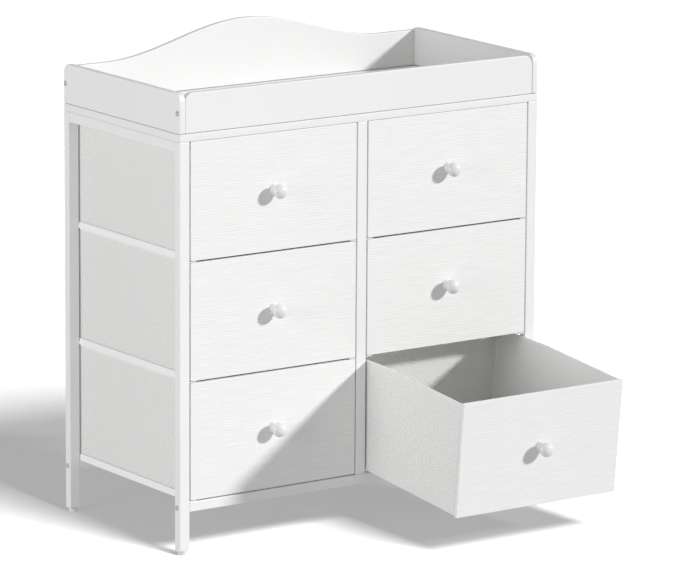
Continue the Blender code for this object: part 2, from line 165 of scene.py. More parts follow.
def grain_group() -> bpy.types.NodeTree:
    """Wood grain: noise squeezed into streaks, with even ridges where a slow noise is high.

    Density is the number of streaks in a metre across the grain, Stretch is how many
    of their lengths a metre holds along it, and Waviness is how far they bend.
    """
    patch_scale = (2.4, 13.0, 1.0)      # slow changes in a metre along and across
    ridge_turn = 3.1                    # radians of ridge for each streak
    ridge_weight, streak_weight = 0.24, 1.1
    group, kit, entry = shader_group(
        "wood_grain", {"Density": 400.0, "Stretch": 15.0, "Waviness": 5.0})
    place = kit.add("TexCoord").outputs["UV"]
    slow = kit.add("Mapping", {"Vector": place, "Scale": patch_scale}).outputs[0]
    axes = kit.add("SeparateXYZ", {0: place})
    bend = kit.math("MULTIPLY", kit.noise(slow, 1.0, 1.0), entry.outputs["Waviness"])
    across = kit.math("ADD", kit.math("MULTIPLY", axes.outputs[1], entry.outputs["Density"]), bend)
    along = kit.math("MULTIPLY", axes.outputs[0], entry.outputs["Stretch"])
    streaks = kit.add("CombineXYZ", {0: along, 1: across}).outputs[0]
    fine = kit.noise(streaks, 1.0, 3.0)
    calm = kit.noise(slow, 0.8, 0.0)
    lines = kit.math("SINE", kit.math("MULTIPLY", across, ridge_turn))
    ridges = kit.math("MULTIPLY", lines, kit.span(calm, 0.0, ridge_weight))
    streak = kit.math("MULTIPLY", kit.math("SUBTRACT", fine, 0.5), streak_weight)
    height = kit.math("ADD", streak, ridges)
    put_out(kit, height, kit.math("ADD", height, 0.5))
    return group


def twill_group() -> bpy.types.NodeTree:
    """Ribs of a twill cloth, 35 degrees steep, crossed by threads and loosened by noise.

    Pitch is the distance between ribs and Thread that between crossing threads, in
    metres.
    """
    rib_x, rib_y = 0.574, 0.819         # sine and cosine of the ribs' slope
    loose_scale, loose_turn = 160.0, 1.6
    speckle_scale = 900.0
    rib_weight, thread_weight, speckle_weight = 0.28, 0.08, 1.7
    group, kit, entry = shader_group("twill_weave", {"Pitch": 0.0040, "Thread": 0.0011})
    place = kit.add("TexCoord").outputs["UV"]
    axes = kit.add("SeparateXYZ", {0: place})
    rising = kit.math("ADD", kit.math("MULTIPLY", axes.outputs[0], rib_x),
                      kit.math("MULTIPLY", axes.outputs[1], rib_y))
    falling = kit.math("SUBTRACT", axes.outputs[0], axes.outputs[1])
    loose = kit.noise(place, loose_scale, 2.0)
    turns = kit.math("DIVIDE", kit.math("MULTIPLY", rising, math.tau), entry.outputs["Pitch"])
    rib = kit.math("SINE", kit.math("ADD", turns, kit.math("MULTIPLY", loose, loose_turn)))
    threads = kit.math("DIVIDE", kit.math("MULTIPLY", falling, math.tau), entry.outputs["Thread"])
    cross = kit.math("SINE", threads)
    speckle = kit.math("SUBTRACT", kit.noise(place, speckle_scale, 1.0), 0.5)
    height = kit.math("ADD", kit.math("MULTIPLY", rib, rib_weight),
                      kit.math("MULTIPLY", cross, thread_weight))
    height = kit.math("ADD", height, kit.math("MULTIPLY", speckle, speckle_weight))
    put_out(kit, height, kit.math("ADD", height, 0.5))
    return group


def coat_group() -> bpy.types.NodeTree:
    """Skin of a sprayed coat: a fine orange-peel height and a slow patchy mask."""
    group, kit, entry = shader_group("sprayed_coat", {"Fineness": 700.0, "Patches": 9.0})
    place = kit.add("TexCoord").outputs["Object"]
    peel = kit.noise(place, entry.outputs["Fineness"], 1.0)
    patch = kit.noise(place, entry.outputs["Patches"], 3.0)
    put_out(kit, peel, patch)
    return group


class Effect(Enum):
    """Shader groups that the finishes share."""

    GRAIN = "wood_grain"
    TWILL = "twill_weave"
    COAT = "sprayed_coat"


# ---- finishes
@dataclass(frozen=True)
class Finish:
    """A surface whose colour, roughness and bump follow one shared effect.

    Attributes:
        name: the material's name.
        low: colour where the effect's mask is 0.
        high: colour where it is 1.
        roughness: roughness where the mask is 0 and where it is 1.
        effect: the shared group.
        settings: the group's own values by input name.
        bump: height of the effect in metres.
        metallic: metallic value.
        coat: weight of a clear coat.
        coat_roughness: roughness of that coat.
        sheen: weight of a cloth's sheen.
        sheen_roughness: roughness of that sheen.
    """

    name: str
    low: Colour
    high: Colour
    roughness: tuple[float, float]
    effect: Effect
    settings: tuple[tuple[str, float], ...] = ()
    bump: float = 0.00003
    metallic: float = 0.0
    coat: float = 0.0
    coat_roughness: float = 0.12
    sheen: float = 0.0
    sheen_roughness: float = 0.5

    def material(self) -> bpy.types.Material:
        """Return this finish's material, made on first use."""
        found = bpy.data.materials.get(self.name)
        return found or self.build()

    def build(self) -> bpy.types.Material:
        """Build the material.

        Returns:
            The new material.
        """
        material = bpy.data.materials.new(self.name)
        material.use_nodes = True
        kit = NodeKit(material.node_tree)
        shader = material.node_tree.nodes["Principled BSDF"]
        group = kit.add("Group", node_tree=bpy.data.node_groups[self.effect.value])
        for label, value in self.settings:
            group.inputs[label].default_value = value
        mask = kit.add("Clamp", {0: group.outputs["Mask"]}).outputs[0]
        kit.feed(shader.inputs["Base Color"], self.colour(kit, mask))
        kit.feed(shader.inputs["Roughness"], kit.span(mask, *self.roughness))
        bump = kit.add("Bump", {"Height": group.outputs["Height"], "Distance": self.bump})
        kit.feed(shader.inputs["Normal"], bump.outputs[0])
        shader.inputs["Metallic"].default_value = self.metallic
        shader.inputs["Coat Weight"].default_value = self.coat
        shader.inputs["Coat Roughness"].default_value = self.coat_roughness
        shader.inputs["Sheen Weight"].default_value = self.sheen
        shader.inputs["Sheen Roughness"].default_value = self.sheen_roughness
        return material

    def colour(self, kit: NodeKit, mask: Socket) -> Socket:
        """The colour that the effect's mask gives."""
        return kit.blend(mask, self.low, self.high)


@dataclass(frozen=True)
class Cloth(Finish):
    """Woven cloth with a painted highlight along its turned hem, and a row of stitches with painted
    shade in their needle holes along its rim.

    The second UV coordinate is the distance down from the rim, so the hem and the
    stitches follow the rim wherever it slopes.

    Attributes:
        hem: height of the hem.
        hem_highlight_colour: pale colour that the hem is drawn towards, a painted highlight.
        hem_highlight_share: how far the painted highlight draws it there.
        stitch_at: distance of the stitches from the rim.
        stitch_pitch: distance from one stitch to the next.
        stitch_hole: share of that distance taken by the needle's hole.
        stitch_half: half of the row's width.
        hole_shade_colour: dark colour that the holes are drawn towards, painted shade.
        hole_shade_share: how far the painted shade draws them there.
    """

    hem: float = 0.0085
    # Painted highlight: the hem is drawn towards this pale colour to stand for light on the rolled
    # rim.
    hem_highlight_colour: Colour = (0.93, 0.93, 0.92)
    hem_highlight_share: float = 0.30
    stitch_at: float = 0.0070
    stitch_pitch: float = 0.0034
    stitch_hole: float = 0.3
    stitch_half: float = 0.00045
    # Painted shade: the needle holes are drawn towards this dark colour.
    hole_shade_colour: Colour = (0.32, 0.32, 0.31)
    hole_shade_share: float = 0.5

    def colour(self, kit: NodeKit, mask: Socket) -> Socket:
        """The weave's colour, with a painted highlight on the hem and painted shade in the needle
        holes between stitches.

        Args:
            kit: builder of the material's tree.
            mask: the weave's mask.

        Returns:
            The colour socket.
        """
        axes = kit.add("SeparateXYZ", {0: kit.add("TexCoord").outputs["UV"]})
        down = axes.outputs[1]
        weave = kit.blend(mask, self.low, self.high)
        # Painted highlight: the hem band near the rim is drawn paler.
        on_lit_hem = kit.math("MULTIPLY", kit.math("LESS_THAN", down, self.hem), self.hem_highlight_share)
        with_hem_highlight = kit.blend(on_lit_hem, weave, self.hem_highlight_colour)
        offset = kit.math("ABSOLUTE", kit.math("SUBTRACT", down, self.stitch_at))
        in_row = kit.math("LESS_THAN", offset, self.stitch_half)
        step = kit.math("FRACT", kit.math("DIVIDE", axes.outputs[0], self.stitch_pitch))
        # Painted shade in the needle holes between stitches.
        hole = kit.math("MULTIPLY", in_row, kit.math("LESS_THAN", step, self.stitch_hole))
        hole = kit.math("MULTIPLY", hole, self.hole_shade_share)
        return kit.blend(hole, with_hem_highlight, self.hole_shade_colour)


POWDER_COAT = Finish(
    "powder_coated_steel", (0.83, 0.83, 0.825), (0.87, 0.87, 0.865), (0.36, 0.46),
    Effect.COAT, (("Fineness", 900.0), ("Patches", 7.0)), 0.00004)
# Painted light: a lighter copy of the legs' powder coat, for the brighter light the runners' outer
# faces catch.
LIT_RUNNER_COAT = Finish(
    "runner_coat_painted_lighter", (0.91, 0.91, 0.905), (0.94, 0.94, 0.935), (0.40, 0.52),
    Effect.COAT, (("Fineness", 900.0), ("Patches", 12.0)), 0.00004)
BOARD_PAINT = Finish(
    "satin_board_paint", (0.82, 0.82, 0.815), (0.855, 0.855, 0.85), (0.32, 0.42),
    Effect.COAT, (("Fineness", 420.0), ("Patches", 5.0)), 0.00003)
FRONT_FOIL = Finish(
    "grained_front_foil", (0.77, 0.77, 0.765), (0.92, 0.92, 0.915), (0.62, 0.46),
    Effect.GRAIN, (), 0.00030)
BOX_CLOTH = Cloth(
    "woven_box_cloth", (0.66, 0.66, 0.655), (0.98, 0.98, 0.97), (0.95, 0.82),
    Effect.TWILL, (), 0.00040, sheen=0.15)
BASE_BOARD = Finish(
    "pale_fibreboard", (0.60, 0.59, 0.56), (0.71, 0.70, 0.67), (0.86, 0.74),
    Effect.COAT, (("Fineness", 260.0), ("Patches", 55.0)), 0.00008)
KNOB_GLOSS = Finish(
    "knob_gloss_paint", (0.76, 0.76, 0.76), (0.79, 0.79, 0.79), (0.22, 0.30),
    Effect.COAT, (("Fineness", 500.0), ("Patches", 30.0)), 0.00001, coat=0.35)
GLIDE_PLASTIC = Finish(
    "moulded_glide", (0.74, 0.74, 0.735), (0.80, 0.80, 0.795), (0.45, 0.58),
    Effect.COAT, (("Fineness", 1200.0), ("Patches", 60.0)), 0.00003)
BOLT_METAL = Finish(
    "satin_bolt_steel", (0.60, 0.60, 0.60), (0.74, 0.74, 0.74), (0.28, 0.42),
    Effect.COAT, (("Fineness", 1500.0), ("Patches", 240.0)), 0.00002, metallic=0.8)


def dress(node: str, finish: Finish) -> None:
    """Give a CAD node a finish.

    Args:
        node: the node's name.
        finish: the finish for all of its material slots.
    """
    for place in frame["nodes"][node].material_slots:
        place.material = finish.material()
    log.info("%s dressed in %s", node, finish.name)


# ---- surfaces
def new_object(name: str, data: bpy.types.ID) -> bpy.types.Object:
    """Put data in the scene.

    Args:
        name: the object's name.
        data: a mesh, lamp or camera.

    Returns:
        The new object.
    """
    item = bpy.data.objects.new(name, data)
    bpy.context.scene.collection.objects.link(item)
    return item


def closed_skin(name: str, points: np.ndarray, uv: np.ndarray, cap_uv: np.ndarray,
                finish: Finish) -> bpy.types.Object:
    """Mesh a grid that closes round its second direction, with a flat cap at each end.

    Args:
        name: the piece's name.
        points: places, rows by columns by 3.
        uv: texture places, rows by columns plus one by 2.
        cap_uv: texture places of both caps, 2 by columns by 2.
        finish: the piece's finish.

    Returns:
        The new object, with its place in its mesh.
    """
    rows, columns = points.shape[:2]
    row, column = np.meshgrid(np.arange(rows - 1), np.arange(columns), indexing="ij")
    after = (column + 1) % columns
    quads = np.stack([row * columns + column, row * columns + after,
                      (row + 1) * columns + after, (row + 1) * columns + column], -1)
    quads_uv = np.stack([uv[row, column], uv[row, column + 1],
                         uv[row + 1, column + 1], uv[row + 1, column]], -2)
    quads, quads_uv = quads.reshape(-1, 4), quads_uv.reshape(-1, 4, 2)
    first = np.arange(columns)[::-1]
    last = (rows - 1) * columns + np.arange(columns)
    caps, caps_uv = [first, last], [cap_uv[0][::-1], cap_uv[1]]
    places = points.reshape(-1, 3)
    if skin_volume(places, quads) < 0:
        quads, quads_uv = quads[:, ::-1], quads_uv[:, ::-1]
        caps, caps_uv = [cap[::-1] for cap in caps], [part[::-1] for part in caps_uv]
    mesh = bpy.data.meshes.new(name)
    mesh.from_pydata(places.tolist(), [], quads.tolist() + [cap.tolist() for cap in caps])
    layer = mesh.uv_layers.new(name="UVMap")
    layer.data.foreach_set("uv", np.concatenate([quads_uv.reshape(-1, 2), *caps_uv]).ravel())
    mesh.shade_smooth()
    mesh.materials.append(finish.material())
    return new_object(name, mesh)


def skin_volume(places: np.ndarray, quads: np.ndarray) -> float:
    """Signed volume between a skin's quads and its own centre.

    Args:
        places: vertices.
        quads: faces.

    Returns:
        A positive number where the faces point outwards.
    """
    corner = (places - places.mean(0))[quads]
    first = np.einsum("ij,ij->i", corner[:, 0], np.cross(corner[:, 1], corner[:, 2]))
    second = np.einsum("ij,ij->i", corner[:, 0], np.cross(corner[:, 2], corner[:, 3]))
    return float((first + second).sum())


def corner_arc(centre: tuple[float, float], radius: float, start: float) -> np.ndarray:
    """A quarter circle from start degrees: centre plus radius times (cosine, sine)."""
    turn = np.radians(np.linspace(start, start + 90, 10))
    return np.stack([centre[0] + radius * np.cos(turn), centre[1] + radius * np.sin(turn)], -1)


def rounded_outline(low: np.ndarray, high: np.ndarray, bottom: float, top: float) -> np.ndarray:
    """A rectangle whose lower and upper corners are quarter circles.

    Args:
        low: lowest corner.
        high: highest corner.
        bottom: radius of the lower two corners.
        top: radius of the upper two corners.

    Returns:
        Points anticlockwise, number by 2.
    """
    return np.concatenate([
        corner_arc((low[0] + bottom, low[1] + bottom), bottom, 180),
        corner_arc((high[0] - bottom, low[1] + bottom), bottom, 270),
        corner_arc((high[0] - top, high[1] - top), top, 0),
        corner_arc((low[0] + top, high[1] - top), top, 90)])


def inset(outline: np.ndarray, distance: float) -> np.ndarray:
    """Move an anticlockwise outline inwards along the mean of its edges' normals.

    Args:
        outline: points.
        distance: how far each edge moves.

    Returns:
        The moved points.
    """
    before = outline - np.roll(outline, 1, 0)
    ahead = np.roll(outline, -1, 0) - outline
    normals = []
    for edge in (before, ahead):
        normal = np.stack([-edge[:, 1], edge[:, 0]], -1)
        normals.append(normal / np.linalg.norm(normal, axis=1, keepdims=True))
    middle = normals[0] + normals[1]
    middle /= np.linalg.norm(middle, axis=1, keepdims=True)
    stretch = 1 / np.maximum((middle * normals[0]).sum(1, keepdims=True), 0.4)
    return outline + middle * stretch * distance


class Facing(Enum):
    """The level axis along which a standing board is thin."""

    X = 0
    Y = 1


@dataclass
class Placement:
    """Turns a drawer's pieces from their closed place to where they are stored.

    Attributes:
        pivot: a point on the X axis that the drawer tips about.
        tilt: the angle in radians, 0 for a closed drawer.
    """

    pivot: np.ndarray
    tilt: float = 0.0

    def apply(self, points: np.ndarray) -> np.ndarray:
        """Turn points about the pivot's X axis: y and z by the tilt's cosine and sine.

        Args:
            points: places of a closed drawer.

        Returns:
            The same places where the drawer is stored.
        """
        offset = points - self.pivot
        cosine, sine = math.cos(self.tilt), math.sin(self.tilt)
        y = cosine * offset[..., 1] - sine * offset[..., 2]
        z = sine * offset[..., 1] + cosine * offset[..., 2]
        return np.stack([offset[..., 0], y, z], -1) + self.pivot


STILL = Placement(np.zeros(3))
HAIR = 0.0001                   # a fall too small to see, which keeps a turned edge crisp
EDGE_STEPS = 6                  # rings in a rounded edge
CAP_LIP = 0.0006                # flat strip between a rounded edge and its cap


def rounded_board(name: str, outline: np.ndarray, facing: Facing, start: float, thickness: float,
                  edge: float, finish: Finish, placement: Placement = STILL,
                  shift: tuple[float, float] = (0.0, 0.0)) -> bpy.types.Object:
    """A board with rounded edges: its outline moves in and out by a quarter circle.

    The inset is the edge radius times one less the sine, and the depth is the
    radius times one less the cosine, at both faces.

    Args:
        name: the piece's name.
        outline: anticlockwise points in the two axes that the board lies in.
        facing: the axis it is thin along.
        start: where it starts on that axis.
        thickness: its thickness.
        edge: radius of its edges.
        finish: its finish.
        placement: where it is turned to.
        shift: added to its texture place, so that no two boards match.

    Returns:
        The new object.
    """
    turn = np.linspace(0, math.pi / 2, EDGE_STEPS)
    insets = np.concatenate([[edge + CAP_LIP], edge * (1 - np.sin(turn))])
    depths = np.concatenate([[0.0], edge * (1 - np.cos(turn))])
    insets = np.concatenate([insets, insets[::-1]])
    depths = np.concatenate([depths, thickness - depths[::-1]])
    rings = np.stack([inset(outline, distance) for distance in insets])
    depth = np.broadcast_to((start + depths)[:, None], rings.shape[:2])
    points = np.insert(rings, facing.value, depth, axis=2)
    flat = rings + np.array(shift)
    uv = np.concatenate([flat, flat[:, :1]], 1)
    return closed_skin(name, placement.apply(points), uv, flat[[0, -1]], finish)


def turned_piece(name: str, profile: np.ndarray, centre: np.ndarray, axis: Triple,
                 finish: Finish, flats: np.ndarray | None = None, segments: int = 64,
                 placement: Placement = STILL) -> bpy.types.Object:
    """A surface of revolution: each profile radius goes once round the axis.

    Where flats is 1 the radius follows a hexagon instead: the flat's distance over
    the cosine of the angle from its middle.

    Args:
        name: the piece's name.
        profile: radius and distance along the axis, rows by 2.
        centre: where distance 0 lies.
        axis: unit direction of growing distance.
        finish: its finish.
        flats: how far each row is a hexagon, 0 to 1.
        segments: number of columns.
        placement: where it is turned to.

    Returns:
        The new object.
    """
    axis = np.array(axis)
    turn = np.arange(segments) * math.tau / segments
    side = np.cross(axis, [0.0, 0.0, 1.0]) if abs(axis[2]) < 0.9 else np.array([1.0, 0.0, 0.0])
    side /= np.linalg.norm(side)
    other = np.cross(axis, side)
    share = np.zeros(len(profile)) if flats is None else flats
    hexagon = 1 / np.cos((turn + math.pi / 6) % (math.pi / 3) - math.pi / 6)
    radius = profile[:, :1] * (1 + share[:, None] * (hexagon[None] - 1))
    ring = np.cos(turn)[:, None] * side + np.sin(turn)[:, None] * other
    points = centre + radius[..., None] * ring + profile[:, 1][:, None, None] * axis
    along = np.broadcast_to(profile[:, 1:2], (len(profile), segments + 1))
    around = np.broadcast_to(np.arange(segments + 1) * 0.001, along.shape)
    uv = np.stack([around, along], -1)
    return closed_skin(name, placement.apply(points), uv, uv[[0, -1], :-1], finish)


def place_piece(piece: bpy.types.Object, body: str, slot: str, *nodes: str) -> None:
    """Let a piece ride on a body and stand for its CAD nodes.

    Args:
        piece: the new object.
        body: the body it rides on.
        slot: the record's material slot; not used.
        nodes: the CAD nodes that it replaces.
    """
    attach(piece, body)
    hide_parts(*nodes)
    log.info("%s on %s: %d faces", piece.name, body, len(piece.data.polygons))


def corners(node: str) -> tuple[np.ndarray, np.ndarray]:
    """A CAD node's lowest and highest corner at rest, as arrays."""
    low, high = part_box(node)
    return np.array(low), np.array(high)


# ---- sub-assemblies
SIDES = ("left", "right")
ENDS = ("front", "rear")
ROWS = ("bottom", "middle", "top")


@dataclass
class SteelFrame:
    """Legs, uprights, rails, runners, glides and bolts.

    Attributes:
        glide_edge: rounding of a glide's lower edge.
        groove_low: height of the groove's lower lip round a glide.
        groove_high: height of its upper lip.
        groove_depth: depth of the groove and of its sloping lips.
        glide_height: height of the glide's disc.
        plug_radius: radius of the plug inside the leg.
        bolt_head: radius of a bolt's head.
        head_height: height of the head.
        dome_fall: share of the height lost from the middle to the rim.
        shank: radius of the shank.
        head_rim: heights between which the head's rim is upright.
        socket: distance of the hexagon socket's flats from its middle.
        socket_depth: depth of the socket.
    """

    glide_edge: float = 0.0012
    groove_low: float = 0.0030
    groove_high: float = 0.0046
    groove_depth: float = 0.0004
    glide_height: float = 0.0080
    plug_radius: float = 0.0070
    bolt_head: float = 0.0050
    head_height: float = 0.0018
    dome_fall: float = 0.22
    shank: float = 0.0030
    head_rim: tuple[float, float] = (0.0003, 0.0011)
    socket: float = 0.0020
    socket_depth: float = 0.0011

    def build(self) -> None:
        """Dress the tubes and make the glides and bolts."""
        for end in ENDS:
            dress(f"upright_{end}", POWDER_COAT)
            dress(f"bottom_rail_{end}", POWDER_COAT)
            for side in SIDES:
                dress(f"leg_{end}_{side}", POWDER_COAT)
                self.glide(f"{end}_{side}")
                self.bolt(f"leg_bolt_{end}_{side}", side)
                self.bolt(f"tray_bolt_{end}_{side}", side)
        for side in SIDES:
            dress(f"upper_rail_{side}", POWDER_COAT)
        for row in ROWS:
            for place in ("left", "centre", "right"):
                # The runners take the lighter copy of the powder coat, which is painted light.
                dress(f"runner_{row}_{place}", LIT_RUNNER_COAT)

    def glide(self, corner: str) -> None:
        """A round glide: a disc with a quarter-circle lower edge, a groove and a plug.

        Args:
            corner: which leg it stands under.
        """
        low, high = corners(f"foot_{corner}")
        radius, edge, depth = (high[0] - low[0]) / 2, self.glide_edge, self.groove_depth
        turn = np.linspace(0, math.pi / 2, 7)
        lower = np.stack([radius - edge + edge * np.sin(turn), edge * (1 - np.cos(turn))], -1)
        upper = [(radius, self.groove_low), (radius - depth, self.groove_low + depth),
                 (radius - depth, self.groove_high - depth), (radius, self.groove_high),
                 (radius, self.glide_height - HAIR), (self.plug_radius, self.glide_height),
                 (self.plug_radius, high[2])]
        centre = np.array([(low[0] + high[0]) / 2, (low[1] + high[1]) / 2, low[2]])
        piece = turned_piece(f"glide_{corner}", np.concatenate([lower, upper]), centre,
                             (0.0, 0.0, 1.0), GLIDE_PLASTIC)
        place_piece(piece, "cabinet", "glide_plastic", f"foot_{corner}")

    def bolt(self, node: str, side: str) -> None:
        """A low domed head with a hexagon socket, and the shank behind it.

        The dome falls by the square of the distance from its middle.

        Args:
            node: the bolt's CAD node.
            side: which side of the table it is on.
        """
        low, high = corners(node)
        out = -1.0 if side == "left" else 1.0
        face = low[0] if side == "left" else high[0]
        reach = high[0] - low[0]
        radii = np.linspace(self.bolt_head * 0.96, self.socket * 1.3, 8)
        fall = self.dome_fall * (radii / self.bolt_head) ** 2
        dome = np.stack([radii, self.head_height * (1 - fall)], -1)
        crest = dome[-1, 1]
        start = [(self.shank, self.head_height - reach), (self.shank, 0.0),
                 *((self.bolt_head, height) for height in self.head_rim)]
        floor = crest - self.socket_depth
        hollow = [(self.socket, crest - HAIR), (self.socket, floor), (self.socket * 0.3, floor)]
        profile = np.concatenate([start, dome, hollow])
        flats = np.zeros(len(profile))
        flats[-len(hollow):] = 1.0
        middle = (low + high) / 2
        centre = np.array([face - out * crest, middle[1], middle[2]])
        piece = turned_piece(f"{node}_head", profile, centre, (out, 0.0, 0.0), BOLT_METAL,
                             flats, 48)
        place_piece(piece, "cabinet", "bolt_steel", node)


@dataclass
class Tray:
    """The panel and the four boards that stand on it.

    Attributes:
        edge: rounding of the boards' edges.
        corner: rounding of the boards' nearly square corners.
        panel_corner: rounding of the panel's upright corners.
        panel_edge: rounding of the panel's edges.
        floor_margin: width of the panel's lower rim, under the boards.
        floor_rise: step up from the rim to the tray's floor.
        floor_slope: width of that step.
        joint: height by which the boards stand clear of their lowest place.
        side_radius: upper corners of the side boards.
        front_radius: upper corners of the front board.
        wave_height: rise of the back board's wave.
        wave_half_width: distance from the wave's crest to its foot.
    """

    edge: float = 0.0015
    corner: float = 0.0024
    panel_corner: float = 0.0020
    panel_edge: float = 0.0008
    floor_margin: float = 0.0144
    floor_rise: float = 0.0006
    floor_slope: float = 0.0010
    joint: float = 0.0006
    side_radius: float = 0.0170
    front_radius: float = 0.0190
    wave_height: float = 0.0615
    wave_half_width: float = 0.3350

    def build(self) -> None:
        """Make the panel and the boards."""
        self.panel()
        for side in SIDES:
            self.board(f"tray_side_board_{side}", f"tray_side_{side}", Facing.X, self.side_radius)
        self.board("tray_front_board", "tray_front", Facing.Y, self.front_radius)
        self.board("tray_back_board", "tray_back", Facing.Y)

    def panel(self) -> None:
        """The panel: a rounded slab whose upper face steps up inside the boards."""
        low, high = corners("top_panel")
        top = high[2] - self.floor_rise
        turn = np.linspace(0, math.pi / 2, EDGE_STEPS)
        insets = self.panel_edge * (1 - np.sin(turn))
        rounding = self.panel_edge * (1 - np.cos(turn))
        inside = self.floor_margin + np.array([0.0, self.floor_slope, self.floor_slope + CAP_LIP])
        insets = np.concatenate([insets, insets[::-1], inside])
        heights = np.concatenate([low[2] + rounding, top - rounding[::-1], [top, high[2], high[2]]])
        radius = self.panel_corner
        rings = np.stack([rounded_outline(low[:2] + step, high[:2] - step, radius, radius)
                          for step in insets])
        level = np.broadcast_to(heights[:, None, None], (*rings.shape[:2], 1))
        uv = np.concatenate([rings, rings[:, :1]], 1)
        piece = closed_skin("panel_board", np.concatenate([rings, level], -1), uv, rings[[0, -1]],
                            BOARD_PAINT)
        place_piece(piece, "cabinet", "painted_board", "top_panel")

    def board(self, name: str, node: str, facing: Facing, radius: float | None = None) -> None:
        """One standing board, its lower edge lifted to leave a dark joint line.

        Args:
            name: the piece's name.
            node: the CAD node that it stands for.
            facing: the axis it is thin along.
            radius: its upper corners; a board without one gets the wave.
        """
        low, high = corners(node)
        low[2] += self.joint
        thin, wide = facing.value, [1 - facing.value, 2]
        if radius is None:
            outline = self.wave_outline(low, high)
        else:
            outline = rounded_outline(low[wide], high[wide], self.corner, radius)
        piece = rounded_board(name, outline, facing, low[thin], high[thin] - low[thin], self.edge,
                              BOARD_PAINT)
        place_piece(piece, "cabinet", "painted_board", node)

    def wave_outline(self, low: np.ndarray, high: np.ndarray) -> np.ndarray:
        """The back board's outline, with one raised cosine along its top.

        The rise is half the wave's height times one plus the cosine of pi times the
        distance from the middle over the half width.

        Args:
            low: the node's lowest corner.
            high: the node's highest corner.

        Returns:
            Points anticlockwise in X and Z.
        """
        shoulder = high[2] - self.wave_height
        radius = self.corner
        across = np.linspace(self.wave_half_width, -self.wave_half_width, 121)
        rise = 0.5 * self.wave_height * (1 + np.cos(math.pi * across / self.wave_half_width))
        middle = (low[0] + high[0]) / 2
        return np.concatenate([
            corner_arc((low[0] + radius, low[2] + radius), radius, 180),
            corner_arc((high[0] - radius, low[2] + radius), radius, 270),
            corner_arc((high[0] - radius, shoulder - radius), radius, 0),
            np.stack([middle + across, shoulder + rise], -1),
            corner_arc((low[0] + radius, shoulder - radius), radius, 90)])


